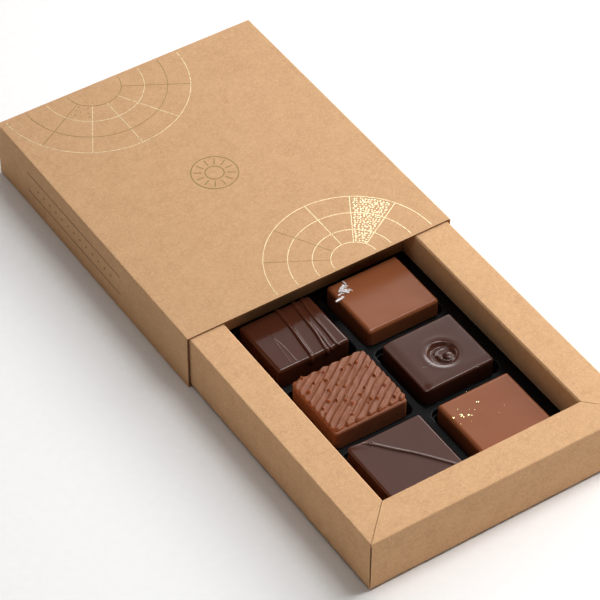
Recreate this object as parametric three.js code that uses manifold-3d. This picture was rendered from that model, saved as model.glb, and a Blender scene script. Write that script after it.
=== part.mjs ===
// Box of chocolate pralines. A kraft card sleeve holds a card tray whose frame is
// folded from the same board. A black moulded insert in the tray holds the pralines.
// Millimetres, +Z up. The tray is drawn out of the sleeve towards -Y.

import * as THREE from 'three';
import { mergeVertices } from 'three/addons/utils/BufferGeometryUtils.js';
import Module from 'manifold-3d';

const wasm = await Module();
wasm.setup();

// Board, plastic and the room between pieces
const BOARD = 0.55;
const SHEET = 0.4;
const GAP = 0.3;
const SIDE_PLAY = 0.35;

// Tray
const TRAY_W = 100;
const TRAY_L = 121.5;
const TRAY_H = 20.4;
const FRAME_W = 13.1;
const TRAY_OUT = 101.5;
const FOLD_R = 0.8;
const INNER_FOLD_R = 0.6;
const MITRE_GAP = 0.3;
const MITRE_DEPTH = 1.2;
const CORNER_GAP = 0.6;

// Sleeve
const SLEEVE_L = 123;
const SLEEVE_W = TRAY_W + 2 * (SIDE_PLAY + BOARD);
const SLEEVE_H = TRAY_H + 2 * (GAP + BOARD);

// Insert: pockets in columns along X and rows along Y
const COLUMNS = 2;
const ROWS = 3;
const PITCH_X = 33.7;
const PITCH_Y = 31.4;
const FLANGE_Z = 8.85;
const RIM_X = 30.4;
const RIM_Y = 28.2;
const BASE_X = 28.6;
const BASE_Y = 26.4;
const RIM_R = 2.6;
const BASE_R = 1.5;
const RIM_ROUND = 0.6;
const GRID_SHIFT = -0.5;

// Pralines
const PRALINE_X = 27.1;
const PRALINE_Y = 25;
const PRALINE_H = 11.9;
const CORNER_R = 1.2;
const FOOT_R = 0.5;

// Edges shorter than this go when solids are joined
const SLIVER = 0.01;

// Colours
const KRAFT = 0xd9ae82;
const PLASTIC = 0x0d0d0e;
const DARK = 0x3f2a25;
const MILK = 0x8a5540;

// Materials

function card() {
  return new THREE.MeshStandardMaterial({ color: KRAFT, roughness: 0.9, metalness: 0 });
}

function plastic() {
  return new THREE.MeshStandardMaterial({ color: PLASTIC, roughness: 0.25, metalness: 0 });
}

function chocolate(color) {
  return new THREE.MeshStandardMaterial({ color, roughness: 0.35, metalness: 0 });
}

// Closed meshes and solids

function indexed(points, faces) {
  const geometry = new THREE.BufferGeometry();
  geometry.setAttribute('position', new THREE.Float32BufferAttribute(points.flat(), 3));
  geometry.setIndex(faces.flat());
  return geometry;
}

function solid(geometry) {
  const bare = geometry.clone();
  bare.deleteAttribute('normal');
  bare.deleteAttribute('uv');
  const merged = mergeVertices(bare, 1e-4);
  return new wasm.Manifold(new wasm.Mesh({
    numProp: 3,
    vertProperties: new Float32Array(merged.attributes.position.array),
    triVerts: new Uint32Array(merged.index.array),
  }));
}

// The outer skin alone, without slivers: a hollow that joining sealed is filled, a scrap goes
function filled(body) {
  const shells = body.simplify(SLIVER).decompose();
  return shells.reduce((best, shell) => (shell.volume() > best.volume() ? shell : best));
}

function named(name, body, material) {
  const { vertProperties, triVerts } = filled(body).getMesh();
  const geometry = new THREE.BufferGeometry();
  geometry.setAttribute('position', new THREE.BufferAttribute(new Float32Array(vertProperties), 3));
  geometry.setIndex(new THREE.BufferAttribute(new Uint32Array(triVerts), 1));
  geometry.computeVertexNormals();
  const mesh = new THREE.Mesh(geometry, material);
  mesh.name = name;
  return mesh;
}

function joinAll(bodies) {
  return bodies.reduce((sum, body) => sum.add(body));
}

// A rectangle with round corners as a ring of points, counter-clockwise
function roundedRect(halfX, halfY, radius, steps = 4) {
  const ring = [];
  for (let corner = 0; corner < 4; corner++) {
    const signX = corner === 0 || corner === 3 ? 1 : -1;
    const signY = corner < 2 ? 1 : -1;
    for (let i = 0; i <= steps; i++) {
      const angle = (corner + i / steps) * Math.PI / 2;
      ring.push([
        signX * (halfX - radius) + radius * Math.cos(angle),
        signY * (halfY - radius) + radius * Math.sin(angle),
      ]);
    }
  }
  return ring;
}

// A skin through rings of equal length, closed by a fan at its first and its last ring
function loft(rings) {
  const count = rings[0].length;
  const points = rings.flat();
  const faces = [];
  for (let level = 0; level + 1 < rings.length; level++) {
    for (let i = 0; i < count; i++) {
      const next = (i + 1) % count;
      const low = level * count;
      const high = low + count;
      faces.push([low + i, low + next, high + next], [low + i, high + next, high + i]);
    }
  }
  const last = (rings.length - 1) * count;
  const foot = points.push(middle(rings[0])) - 1;
  const head = points.push(middle(rings[rings.length - 1])) - 1;
  for (let i = 0; i < count; i++) {
    const next = (i + 1) % count;
    faces.push([foot, next, i], [head, last + i, last + next]);
  }
  return indexed(points, faces);
}

function middle(ring) {
  const sum = ring.reduce((a, p) => [a[0] + p[0], a[1] + p[1], a[2] + p[2]], [0, 0, 0]);
  return sum.map((value) => value / ring.length);
}

function arc(centreX, centreZ, radius, from, to, steps) {
  const points = [];
  for (let i = 0; i <= steps; i++) {
    const angle = THREE.MathUtils.degToRad(from + (to - from) * i / steps);
    points.push([centreX + radius * Math.cos(angle), centreZ + radius * Math.sin(angle)]);
  }
  return points;
}

// A tube of changing radius along a smooth curve, with its ends closed
function rope(points, radiusAt, steps, sides = 8) {
  const curve = new THREE.CatmullRomCurve3(points.map((p) => new THREE.Vector3(...p)));
  const across = new THREE.Vector3(1, 0, 0);
  const rings = [];
  for (let i = 0; i <= steps; i++) {
    const t = i / steps;
    const centre = curve.getPointAt(t);
    const tangent = curve.getTangentAt(t);
    const up = new THREE.Vector3().crossVectors(tangent, across).normalize();
    const side = new THREE.Vector3().crossVectors(up, tangent);
    const ring = [];
    for (let k = 0; k < sides; k++) {
      const angle = 2 * Math.PI * k / sides;
      const point = centre.clone()
        .addScaledVector(side, radiusAt(t) * Math.cos(angle))
        .addScaledVector(up, radiusAt(t) * Math.sin(angle));
      ring.push(point.toArray());
    }
    rings.push(ring);
  }
  return solid(loft(rings));
}

// A ball, or an egg where its height differs from its width
function ball([x, y, z], radius, height = radius, sides = 8, levels = 5) {
  const rings = [];
  for (let level = 0; level < levels; level++) {
    const latitude = Math.PI * ((level + 0.5) / levels - 0.5);
    const reach = radius * Math.cos(latitude);
    const ringZ = z + height * Math.sin(latitude);
    const ring = [];
    for (let k = 0; k < sides; k++) {
      const angle = 2 * Math.PI * k / sides;
      ring.push([x + reach * Math.cos(angle), y + reach * Math.sin(angle), ringZ]);
    }
    rings.push(ring);
  }
  return solid(loft(rings));
}

// Sleeve: one board folded round the tray, open at both ends
function sleeve() {
  const outer = roundedRect(SLEEVE_W / 2, SLEEVE_H / 2, FOLD_R);
  const inner = roundedRect(SLEEVE_W / 2 - BOARD, SLEEVE_H / 2 - BOARD, FOLD_R - BOARD);
  const shape = new THREE.Shape(outer.map((p) => new THREE.Vector2(...p)));
  shape.holes.push(new THREE.Path(inner.map((p) => new THREE.Vector2(...p))));
  const tube = new THREE.ExtrudeGeometry(shape, { depth: SLEEVE_L, bevelEnabled: false });
  tube.rotateX(-Math.PI / 2);
  tube.translate(0, 0, SLEEVE_H / 2);
  return named('sleeve', solid(tube), card());
}

// Tray: a folded strip runs round the recess as outer wall, frame top and inner wall

function frameProfile() {
  const leg = 3;
  const foot = BOARD / 2;
  return [
    [leg, 0],
    ...arc(FOLD_R, FOLD_R, FOLD_R, 270, 180, 3),
    ...arc(FOLD_R, TRAY_H - FOLD_R, FOLD_R, 180, 90, 4),
    ...arc(FRAME_W - INNER_FOLD_R, TRAY_H - INNER_FOLD_R, INNER_FOLD_R, 90, 0, 3),
    [FRAME_W, foot],
    [FRAME_W - BOARD, foot],
    [FRAME_W - BOARD, TRAY_H - BOARD],
    [BOARD, TRAY_H - BOARD],
    [BOARD, BOARD],
    [leg, BOARD],
  ];
}

// The profile, as distance in from the outer face and height, carried round the four corners
function mitredRing(profile) {
  const corners = [[-1, -1], [1, -1], [1, 1], [-1, 1]];
  const count = profile.length;
  const points = [];
  const faces = [];
  for (const [signX, signY] of corners) {
    for (const [inset, z] of profile) {
      points.push([signX * (TRAY_W / 2 - inset), signY * (TRAY_L / 2 - inset), z]);
    }
  }
  for (let corner = 0; corner < 4; corner++) {
    const here = corner * count;
    const there = ((corner + 1) % 4) * count;
    for (let i = 0; i < count; i++) {
      const next = (i + 1) % count;
      faces.push([here + i, there + i, there + next], [here + i, there + next, here + next]);
    }
  }
  return solid(indexed(points, faces));
}

// A thin upright wedge on a corner's diagonal, from outside the corner to an inset
function cornerCut(signX, signY, toInset, bottom, footGap, topGap) {
  const overshoot = 1.5;
  const top = TRAY_H + 1;
  const shape = new THREE.Shape([
    new THREE.Vector2(-footGap / 2, bottom),
    new THREE.Vector2(footGap / 2, bottom),
    new THREE.Vector2(topGap / 2, top),
    new THREE.Vector2(-topGap / 2, top),
  ]);
  const depth = toInset * Math.SQRT2 + overshoot;
  const cut = new THREE.ExtrudeGeometry(shape, { depth, bevelEnabled: false });
  const along = new THREE.Vector3(-signX, -signY, 0).normalize();
  const up = new THREE.Vector3(0, 0, 1);
  const across = new THREE.Vector3().crossVectors(up, along);
  const corner = new THREE.Vector3(signX * TRAY_W / 2, signY * TRAY_L / 2, 0);
  const start = corner.addScaledVector(along, -overshoot);
  cut.applyMatrix4(new THREE.Matrix4().makeBasis(across, up, along).setPosition(start));
  return solid(cut);
}

function tray() {
  const floorInset = 2;
  const floor = new THREE.BoxGeometry(TRAY_W - 2 * floorInset, TRAY_L - 2 * floorInset, BOARD);
  floor.translate(0, 0, BOARD / 2);
  let body = mitredRing(frameProfile()).add(solid(floor));
  for (const signX of [-1, 1]) {
    for (const signY of [-1, 1]) {
      const wallInset = FRAME_W - BOARD - GAP;
      const cornerSlit = cornerCut(signX, signY, wallInset, 2 * BOARD, CORNER_GAP, MITRE_GAP);
      const mitreSlit = cornerCut(signX, signY, FRAME_W + GAP, TRAY_H - MITRE_DEPTH, MITRE_GAP, MITRE_GAP);
      body = body.subtract(cornerSlit).subtract(mitreSlit);
    }
  }
  return named('tray', body, card());
}

// Insert: a thin moulded sheet with a drafted pocket for each praline

function pocketCentre(column, row) {
  return [
    (column - (COLUMNS - 1) / 2) * PITCH_X,
    (row - (ROWS - 1) / 2) * PITCH_Y + GRID_SHIFT,
  ];
}

// A pocket's body, grown by a margin: with none it is the room inside the pocket
function pocketBody(centre, margin) {
  const floorZ = BOARD + GAP + SHEET - margin;
  const stations = [
    [BASE_X - 2 * RIM_ROUND, BASE_Y - 2 * RIM_ROUND, BASE_R - RIM_ROUND, floorZ],
    [BASE_X, BASE_Y, BASE_R, floorZ + RIM_ROUND],
    [RIM_X, RIM_Y, RIM_R, FLANGE_Z - RIM_ROUND - margin],
    [RIM_X + RIM_ROUND * 0.6, RIM_Y + RIM_ROUND * 0.6, RIM_R, FLANGE_Z - RIM_ROUND * 0.3 - margin],
    [RIM_X + RIM_ROUND * 2, RIM_Y + RIM_ROUND * 2, RIM_R, FLANGE_Z - margin],
  ];
  if (margin === 0) {
    stations.push([RIM_X + RIM_ROUND * 2, RIM_Y + RIM_ROUND * 2, RIM_R, FLANGE_Z + 1]);
  }
  const rings = stations.map(([sizeX, sizeY, radius, z]) => {
    const ring = roundedRect(sizeX / 2 + margin, sizeY / 2 + margin, radius + margin, 4);
    return ring.map(([x, y]) => [x + centre[0], y + centre[1], z]);
  });
  return solid(loft(rings));
}

function insert() {
  const flangeX = TRAY_W - 2 * (FRAME_W + GAP);
  const flangeY = TRAY_L - 2 * (FRAME_W + GAP);
  const flangeRing = roundedRect(flangeX / 2, flangeY / 2, 1);
  const levels = [FLANGE_Z - SHEET, FLANGE_Z];
  let body = solid(loft(levels.map((z) => flangeRing.map(([x, y]) => [x, y, z]))));
  const centres = [];
  for (let column = 0; column < COLUMNS; column++) {
    for (let row = 0; row < ROWS; row++) {
      centres.push(pocketCentre(column, row));
    }
  }
  for (const centre of centres) {
    body = body.add(pocketBody(centre, SHEET));
  }
  for (const centre of centres) {
    body = body.subtract(pocketBody(centre, 0));
  }
  return named('insert', body, plastic());
}

// Pralines, each in its own frame: origin in the middle of its underside

// A block with round upright corners, round top edges and a crown that may be hollow
function block({ sizeX = PRALINE_X, sizeY = PRALINE_Y, edge = 1.1, crown = [] } = {}) {
  const stations = [[FOOT_R, 0], [0, FOOT_R]];
  for (const [inset, z] of arc(edge, PRALINE_H - edge, edge, 180, 90, 4)) {
    stations.push([inset, z]);
  }
  stations.push(...crown);
  const rings = stations.map(([inset, z]) => {
    const radius = Math.max(CORNER_R - inset, 0.2);
    return roundedRect(sizeX / 2 - inset, sizeY / 2 - inset, radius).map(([x, y]) => [x, y, z]);
  });
  return solid(loft(rings));
}

// A straight flake lying on the top between two points
function flake(from, to, width, lift) {
  const thickness = 0.5;
  const [dx, dy] = [to[0] - from[0], to[1] - from[1]];
  const stick = new THREE.BoxGeometry(Math.hypot(dx, dy), width, thickness);
  stick.rotateZ(Math.atan2(dy, dx));
  stick.translate((from[0] + to[0]) / 2, (from[1] + to[1]) / 2, PRALINE_H + lift);
  return solid(stick);
}

// A line's sunk share of its radius, its distances from the block's edges and its taper
const LINE = { sunk: 0.45, start: 1.2, startDrop: 0.1, end: 0.5, thin: 0.4, swell: 4 };

// How a drop sits at its line's end: in from the front, up, narrower, and longer than its drip
const DROP = { inset: 0.13, lift: 0.17, width: 0.93, extra: 0.37 };

// A line of drizzle along the top, with a long drop at its front end, down the side
function drizzle(backX, frontX, radius, drip, sizeY, backY = sizeY / 2 - LINE.start) {
  const sink = radius * LINE.sunk;
  const top = PRALINE_H - sink;
  const front = -sizeY / 2 + sink;
  const line = [
    [backX, backY, top - LINE.startDrop],
    [(2 * backX + frontX) / 3, (2 * backY + front) / 3, top],
    [(backX + 2 * frontX) / 3, (backY + 2 * front) / 3, top],
    [frontX, front + LINE.end, top],
  ];
  const taper = (t) => radius * Math.min(1, LINE.thin + LINE.swell * t);
  const lineBody = rope(line, taper, 10);
  if (!drip) {
    return lineBody;
  }
  const place = [frontX, front + DROP.inset, top + DROP.lift - drip / 2];
  return lineBody.add(ball(place, radius * DROP.width, drip / 2 + DROP.extra));
}

function pralineLines() {
  const sizeY = 24;
  const lines = [
    [-6.6, -8.2, 0.35, 0],
    [-6.2, -5.7, 0.35, 0, 0.5],
    [1.2, -0.9, 0.75, 3.2],
    [7.1, 4.9, 0.75, 2.4],
    [8.5, 6.3, 0.5, 1.0],
    [10.7, 8.7, 0.5, 0],
  ];
  const ropes = lines.map(([backX, frontX, radius, drip, backY]) => (
    drizzle(backX, frontX, radius, drip, sizeY, backY)
  ));
  return block({ sizeX: 26.8, sizeY, edge: 1.0 }).add(joinAll(ropes));
}

function pralineFlakes() {
  const flakes = [
    [[-7.9, 11.6], [-7.7, 9.4], 0.8, 0.1],
    [[-11.7, 7.8], [-8.6, 9.9], 1.0, 0.15],
    [[-11.1, 7.0], [-8.9, 9.1], 0.75, 0.47],
    [[-10.7, 7.1], [-8.5, 7.7], 0.8, 0.3],
    [[-10.9, 7.75], [-9.2, 5.5], 0.9, 0.4],
    [[-9.3, 8.1], [-8.8, 5.9], 0.7, 0.1],
    [[-12.7, 6.6], [-11.3, 6.9], 0.6, 0.05],
    [[-15.0, 4.7], [-11.6, 5.1], 0.9, 0.1],
    [[-12.2, 5.6], [-11.5, 4.9], 0.6, 0.2],
  ];
  const sticks = flakes.map(([from, to, width, lift]) => flake(from, to, width, lift));
  return block({ sizeX: 27.4, edge: 1.3 }).add(joinAll(sticks));
}

// Textured praline: a smooth block under a poured layer with slanting ridges

const RIDGE_ANGLE = THREE.MathUtils.degToRad(34.5);
const RIDGE_PITCH = 2.3;
const RIDGE_H = 0.5;
const LAYER_H = 0.65;
const BLOCK_TOP = PRALINE_H - 0.3;
const LAYER = { halfX: 13.75, halfY: 12.15, r: 2.2, shiftX: 0.15, shiftY: 0.85, lobe: 0.8, overlap: 0.25 };
const NIB = { r: 0.55, height: 0.5, lift: 0.2 };

// How far across the ridges a point lies, counted in ridges
function ridgePhase(x, y) {
  return (y * Math.cos(RIDGE_ANGLE) - x * Math.sin(RIDGE_ANGLE)) / RIDGE_PITCH;
}

// The layer's lobed outline: each ridge ends in a lobe
function layerOutline() {
  const stepLength = 0.7;
  const meanCrest = 0.6;
  const ring = [];
  const corners = roundedRect(LAYER.halfX, LAYER.halfY, LAYER.r, 5);
  for (let i = 0; i < corners.length; i++) {
    const [ax, ay] = corners[i];
    const [bx, by] = corners[(i + 1) % corners.length];
    const length = Math.hypot(bx - ax, by - ay);
    const steps = Math.max(1, Math.round(length / stepLength));
    for (let k = 0; k < steps; k++) {
      const x = ax + (bx - ax) * k / steps;
      const y = ay + (by - ay) * k / steps;
      const crest = Math.abs(Math.cos(Math.PI * ridgePhase(x, y)));
      const grow = 1 + LAYER.lobe * (crest - meanCrest) / Math.hypot(x, y);
      ring.push([x * grow + LAYER.shiftX, y * grow + LAYER.shiftY]);
    }
  }
  return ring;
}

// A slab whose top is the ridges' wave, turned to their angle
function ridgeSlab() {
  const reach = 9 * RIDGE_PITCH;
  const samples = 6;
  const wave = [];
  for (let i = 0; i <= 18 * samples; i++) {
    const s = -reach + i * RIDGE_PITCH / samples;
    const crest = Math.abs(Math.cos(Math.PI * s / RIDGE_PITCH));
    wave.push(new THREE.Vector2(s, BLOCK_TOP + LAYER_H + RIDGE_H * (crest - 0.5)));
  }
  wave.push(new THREE.Vector2(reach, BLOCK_TOP - 1), new THREE.Vector2(-reach, BLOCK_TOP - 1));
  const slab = new THREE.ExtrudeGeometry(new THREE.Shape(wave), { depth: 2 * reach, bevelEnabled: false });
  const along = new THREE.Vector3(-Math.cos(RIDGE_ANGLE), -Math.sin(RIDGE_ANGLE), 0);
  const up = new THREE.Vector3(0, 0, 1);
  const across = new THREE.Vector3().crossVectors(up, along);
  const start = along.clone().multiplyScalar(-reach);
  slab.applyMatrix4(new THREE.Matrix4().makeBasis(across, up, along).setPosition(start));
  return solid(slab);
}

function pralineTextured() {
  const outline = layerOutline();
  const layerZ = [BLOCK_TOP - LAYER.overlap, PRALINE_H + 3];
  const column = solid(loft(layerZ.map((z) => outline.map(([x, y]) => [x, y, z]))));
  const nibs = [];
  const nibPlaces = [
    [-9.5, 12.3], [-11, 6.7], [-1.9, 11.4], [6.6, 9.7], [8.5, 9.1], [10.8, 6.2], [3.4, 9.3], [10.2, 1.2],
    [-3.5, 8], [-4.9, 4], [0, 2.6], [2.4, -2.8], [4.9, -1.1], [10.6, -3.9], [3.9, -6.2], [5.4, -7.2],
    [-2.4, -4.7], [-8, 0], [-11.1, -3.9],
  ];
  for (const [x, y] of nibPlaces) {
    nibs.push(ball([x, y, BLOCK_TOP + LAYER_H + NIB.lift], NIB.r, NIB.height, 7, 4));
  }
  const low = -(PRALINE_H - BLOCK_TOP);
  const body = block({ edge: 1.0 }).translate(0, 0, low).add(sunkFoot());
  const layer = ridgeSlab().intersect(column);
  return body.add(layer).add(joinAll(nibs));
}

// The lowest part of the textured praline's block, which keeps its underside on the floor
function sunkFoot() {
  const height = 2;
  const rings = [[FOOT_R, 0], [0, FOOT_R], [0, height]].map(([inset, z]) => {
    const ring = roundedRect(PRALINE_X / 2 - inset, PRALINE_Y / 2 - inset, CORNER_R - inset);
    return ring.map(([x, y]) => [x, y, z]);
  });
  return solid(loft(rings));
}

// Swirl praline: a spiral ring and a knob inside a round hollow that lies off centre

const HOLLOW = { x: 1.2, y: -1.2, r: 5.7, depth: 1.35, lip: 0.2, lipWidth: 1 };
const SPIRAL = { x: 1.8, y: -2.4, start: 145, r: 2.75, growth: 2.1, rise: 1.15, width: 0.8 };
const KNOB = { rise: 1.05, width: 1.3 };

function bell(distance, width) {
  return Math.exp(-((distance / width) ** 2));
}

function swirlHeight(x, y) {
  const fromRim = Math.hypot(x - HOLLOW.x, y - HOLLOW.y) - HOLLOW.r;
  const hollow = -HOLLOW.depth * THREE.MathUtils.smoothstep(-fromRim, -0.9, 1.5);
  const dx = x - SPIRAL.x;
  const dy = y - SPIRAL.y;
  const fromKnob = Math.hypot(dx, dy);
  const degrees = THREE.MathUtils.radToDeg(Math.atan2(dy, dx)) - SPIRAL.start;
  const turn = THREE.MathUtils.euclideanModulo(degrees, 360) / 360;
  const ringFade = THREE.MathUtils.smoothstep(turn, 0, 0.06) * THREE.MathUtils.smoothstep(1 - turn, 0, 0.3);
  const ringRadius = SPIRAL.r + SPIRAL.growth * turn;
  const ring = SPIRAL.rise * ringFade * bell(fromKnob - ringRadius, SPIRAL.width);
  const knob = KNOB.rise * bell(fromKnob, KNOB.width);
  const lip = HOLLOW.lip * bell(fromRim - HOLLOW.lipWidth, HOLLOW.lipWidth);
  return hollow + ring + knob + lip;
}

function pralineSwirl() {
  const reach = HOLLOW.r + 2.6;
  const sides = 40;
  const steps = 14;
  const smallest = 0.4;
  const ringAt = (radius, heightAt) => {
    const ring = [];
    for (let i = 0; i < sides; i++) {
      const angle = 2 * Math.PI * i / sides;
      const x = HOLLOW.x + radius * Math.cos(angle);
      const y = HOLLOW.y + radius * Math.sin(angle);
      ring.push([x, y, heightAt(x, y)]);
    }
    return ring;
  };
  const crownZ = PRALINE_H - 0.15;
  const wellFloor = PRALINE_H - 3;
  const well = solid(loft([ringAt(reach, () => wellFloor), ringAt(reach, () => PRALINE_H + 1)]));
  const overlap = 0.05;
  const stack = [ringAt(reach + overlap, () => wellFloor - 0.5)];
  stack.push(ringAt(reach + overlap, () => crownZ - 0.02));
  for (let step = 0; step <= steps; step++) {
    const radius = reach + (smallest - reach) * step / steps;
    stack.push(ringAt(radius, (x, y) => crownZ + swirlHeight(x, y)));
  }
  const crown = [[3, PRALINE_H - 0.1], [4, crownZ]];
  return block({ edge: 1.2, crown }).subtract(well).add(solid(loft(stack)));
}

function pralineRidge() {
  const path = [
    [-10.6, 11.8], [-8.6, 11.3], [-6.3, 9.5], [-1.8, 4.3], [3.4, -1.6], [9.4, -9.4], [10.8, -11.2],
  ].map(([x, y]) => [x, y, PRALINE_H - 0.25]);
  const radius = 0.75;
  const blunt = 0.3;
  const swell = 6;
  const taper = (t) => radius * Math.min(1, blunt + swell * t, blunt + swell * (1 - t));
  const bead = ball([-6.23, 9.37, PRALINE_H + 0.07], 0.9, 0.63);
  return block({ edge: 0.9 }).add(rope(path, taper, 22)).add(bead);
}

function pralineGold() {
  const bits = [
    [-2.2, 6.5, 0.75], [-9.2, 7.3, 0.6], [-9.9, 4.9, 0.9], [-9.4, 3.7, 0.5], [-7.7, 3.5, 1.0],
    [-6.9, 3.0, 0.6], [-4.8, 4.4, 0.45], [-12.6, 5.1, 0.7],
  ];
  const shares = [1, 0.7, 0.6];
  const turn = 1.3;
  const lift = 0.1;
  const leaves = bits.map(([x, y, size], i) => {
    const leaf = new THREE.OctahedronGeometry(size, 0);
    leaf.scale(...shares);
    leaf.rotateZ(turn * i);
    leaf.translate(x, y, PRALINE_H + lift);
    return solid(leaf);
  });
  return block({ edge: 1.2 }).add(joinAll(leaves));
}

// Which praline stands in which pocket, and how it sits off the pocket's middle
const PRALINES = [
  { name: 'praline_ridge', column: 0, row: 0, offset: [-0.3, -0.15], color: DARK, make: pralineRidge },
  { name: 'praline_gold', column: 1, row: 0, offset: [-0.25, -0.3], color: MILK, make: pralineGold },
  { name: 'praline_textured', column: 0, row: 1, offset: [0.2, 0.2], color: MILK, make: pralineTextured },
  { name: 'praline_swirl', column: 1, row: 1, offset: [-0.25, -0.35], color: DARK, make: pralineSwirl },
  { name: 'praline_lines', column: 0, row: 2, offset: [0, 0.25], color: DARK, make: pralineLines },
  { name: 'praline_flakes', column: 1, row: 2, offset: [0.2, -0.25], color: MILK, make: pralineFlakes },
];

// The box as it stands: sleeve on the table, tray drawn out to the front
const group = new THREE.Group();
const middleY = (SLEEVE_L - TRAY_OUT) / 2;
const sleeveMesh = sleeve();
sleeveMesh.position.set(0, -middleY, 0);
group.add(sleeveMesh);

const drawer = new THREE.Group();
drawer.position.set(0, TRAY_L / 2 - TRAY_OUT - middleY, BOARD + GAP);
drawer.add(tray());
drawer.add(insert());
for (const { name, column, row, offset, color, make } of PRALINES) {
  const praline = named(name, make(), chocolate(color));
  const [x, y] = pocketCentre(column, row);
  praline.position.set(x + offset[0], y + offset[1], BOARD + 2 * GAP + SHEET);
  drawer.add(praline);
}
group.add(drawer);

export default group;
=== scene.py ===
# Open gift box of chocolate pralines: a kraft card sleeve and tray, a black moulded
# insert and six pralines. Lengths are in millimetres until a mesh is made from them.

import math

import bpy
import numpy as np
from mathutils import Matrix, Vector
from mathutils.geometry import delaunay_2d_cdt


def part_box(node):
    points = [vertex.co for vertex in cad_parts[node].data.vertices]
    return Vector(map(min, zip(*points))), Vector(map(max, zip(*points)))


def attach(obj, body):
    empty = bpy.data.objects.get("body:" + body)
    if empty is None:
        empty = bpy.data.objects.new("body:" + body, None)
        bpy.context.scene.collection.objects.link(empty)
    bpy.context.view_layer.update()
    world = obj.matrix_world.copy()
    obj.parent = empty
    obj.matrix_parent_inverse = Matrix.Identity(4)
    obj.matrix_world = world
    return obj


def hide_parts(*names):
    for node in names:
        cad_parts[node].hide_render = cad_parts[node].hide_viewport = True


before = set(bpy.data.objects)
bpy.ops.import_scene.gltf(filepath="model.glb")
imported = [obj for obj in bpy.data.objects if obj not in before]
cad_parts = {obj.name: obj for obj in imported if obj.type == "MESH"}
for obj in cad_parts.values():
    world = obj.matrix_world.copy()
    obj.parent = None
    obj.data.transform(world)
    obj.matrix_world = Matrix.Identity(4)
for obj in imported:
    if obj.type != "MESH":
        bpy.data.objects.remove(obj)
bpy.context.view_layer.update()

MM = 0.001
scene = bpy.context.scene

# Thicknesses: board, the board's cut edge as it shows, plastic sheet and foil
BOARD = 0.55
EDGE = 0.32
SHEET = 0.4
FOIL = 0.03

# Tray's frame strip, and how far its walls keep inside the frame's tray, so that a gap shows
FRAME_W = 13.1
TRAY_PLAY = 0.15

# Folds in the card, and the crease below each outer fold
FOLD_R = 0.5
INNER_FOLD_R = 0.6
CREASE_DROP = 1.7
CREASE_HALF = 0.5
CREASE_DEPTH = 0.05

# Insert's grid of pockets, and a pocket's rim and floor
COLUMNS = 2
ROWS = 3
PITCH_X = 33.7
PITCH_Y = 31.4
GRID_SHIFT = -0.5
RIM_X = 30.4
RIM_Y = 28.2
RIM_R = 2.6
BASE_X = 28.6

# Pralines, and the size of a fine mesh's cells
PRALINE_X = 27.1
PRALINE_Y = 25.0
PRALINE_H = 11.9
CORNER_R = 1.0
CELL = 0.22

# Camera, from the box's corners in the photograph, with its place in metres
CAMERA_PLACE = (-0.37607, -0.57140, 0.68025)
CAMERA_YAW = -33.267
CAMERA_PITCH = 44.709
CAMERA_LENS = 175.8
CAMERA_SENSOR = 36.0

# Colours in linear light. A pair of tones is the darker one, then the lighter one.
CARD_TONES = ((0.560, 0.325, 0.164), (0.640, 0.384, 0.203))
CARD_FLECK = (0.71, 0.435, 0.230)
LIGHT_FIBRE = (0.80, 0.508, 0.282)
DARK_FIBRE = (0.46, 0.250, 0.120)
CARD_SPECK = (0.25, 0.12, 0.055)
# The board's cut edges, about half as bright as the card's face: painted shade for the dark gap under the
# sleeve's mouth
CUT_EDGE_SHADE_TONES = ((0.20, 0.10, 0.05), (0.36, 0.20, 0.10))
PLASTIC_BLACK = (0.002, 0.002, 0.0022)
DUST = (0.16, 0.15, 0.14)
GLOSS_DARK_TONES = ((0.062, 0.0175, 0.0088), (0.066, 0.019, 0.0095))
DARK_TONES = ((0.065, 0.0212, 0.0128), (0.070, 0.0228, 0.0138))
MILK_TONES = ((0.245, 0.0772, 0.030), (0.258, 0.0815, 0.032))
LAYER_TONES = ((0.215, 0.072, 0.033), (0.245, 0.085, 0.040))
# Lighter orange along the poured layer's rim: a painted highlight
LAYER_RIM_HIGHLIGHT = (0.36, 0.10, 0.034)
NIB_BROWN = (0.30, 0.078, 0.023)
# Near black in the nibs' pin holes: painted shade
PIT_SHADE = (0.02, 0.005, 0.003)
FLAKE_TONES = ((0.80, 0.77, 0.77), (0.97, 0.95, 0.94))
FLOOR_TONES = ((0.95, 0.95, 0.95), (0.975, 0.975, 0.975))
FOIL_GOLD = (0.95, 0.82, 0.53)
FOIL_OLIVE = (0.33, 0.235, 0.08)
FOIL_BROWN = (0.15, 0.09, 0.04)
LEAF_GOLD = (0.93, 0.77, 0.38)
WARM_SKY = (1.0, 0.80, 0.62)


# Node materials

# A noise's values between which two tones blend
TONE_FROM = 0.3
TONE_TO = 0.7

# The mix node's sockets for colours, by number, since its socket names repeat
MIX_INPUTS = (0, 6, 7)
MIX_OUTPUT = 2


def new_material(name):
    """A material, its node tree, its shader, and the socket of a point's place on its piece."""
    material = bpy.data.materials.new(name)
    material.use_nodes = True
    tree = material.node_tree
    place = tree.nodes.new("ShaderNodeTexCoord").outputs["Object"]
    return material, tree, tree.nodes["Principled BSDF"], place


def add_node(tree, kind, output, inputs, **settings):
    """One output of a new node, with its inputs linked or set. Colours are given without their alpha."""
    node = tree.nodes.new(kind)
    for name, value in settings.items():
        setattr(node, name, value)
    for name, value in inputs.items():
        socket = node.inputs[name]
        if isinstance(value, bpy.types.NodeSocket):
            tree.links.new(value, socket)
        elif isinstance(value, (int, float)):
            socket.default_value = value
        else:
            socket.default_value = (*value, 1.0)[:len(socket.default_value)]
    return node.outputs[output]


def noise(tree, place, size_mm, detail=2.0, roughness=0.5, distortion=0.0):
    return add_node(tree, "ShaderNodeTexNoise", "Fac", {
        "Vector": place, "Scale": 1 / (size_mm * MM), "Detail": detail, "Roughness": roughness,
        "Distortion": distortion})


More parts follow.
